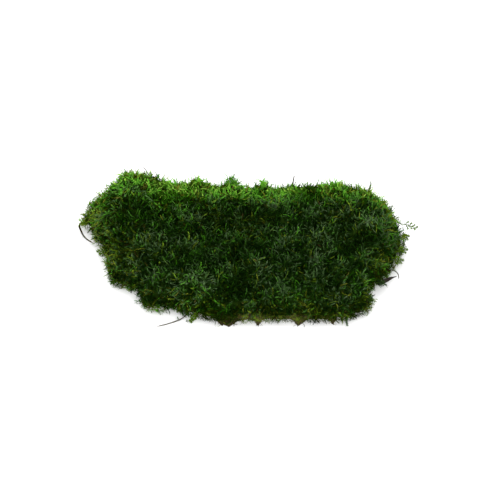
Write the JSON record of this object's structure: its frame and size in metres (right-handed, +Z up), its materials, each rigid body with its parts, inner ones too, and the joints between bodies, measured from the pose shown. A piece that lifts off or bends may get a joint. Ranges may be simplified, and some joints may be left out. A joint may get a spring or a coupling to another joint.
{
  "type": "moss clump",
  "caption": "Torn piece of green feather moss: a thick mat of fine leafy shoots on a thin layer of brown soil and root fibre, with loose shoots at its edges.",
  "frame": {"origin": "middle of the overall outline, on the flat cut underside", "axes": "+X along the length to the viewer's right, +Y from the thin front edge to the thick rear crest, +Z up"},
  "size_m": [0.2566, 0.1368, 0.0526],
  "materials": {
    "moss": null,
    "shoot_green": null,
    "stem_brown": "matte, dry brown stem",
    "soil": null,
    "bark": "matte, dark weathered bark"
  },
  "bodies": {
    "root": {"moss_mat": "moss", "soil_layer": "soil", "bark_scrap": "bark", "rear_whisker_left": "stem_brown", "rear_shoot_left": "shoot_green", "rear_shoot_middle": "shoot_green", "rear_spike_middle": "stem_brown", "rear_spike_right": "shoot_green", "left_loop_stem": "stem_brown", "left_shoot_low": "shoot_green", "trailing_stem": "stem_brown", "front_shoot_left": "shoot_green", "front_shoot_right": "shoot_green", "right_shoot_top": "shoot_green", "right_shoot_upper": "shoot_green", "right_shoot_middle": "shoot_green", "right_shoot_low": "shoot_green", "right_hooked_stem": "stem_brown"}
  },
  "joints": []
}
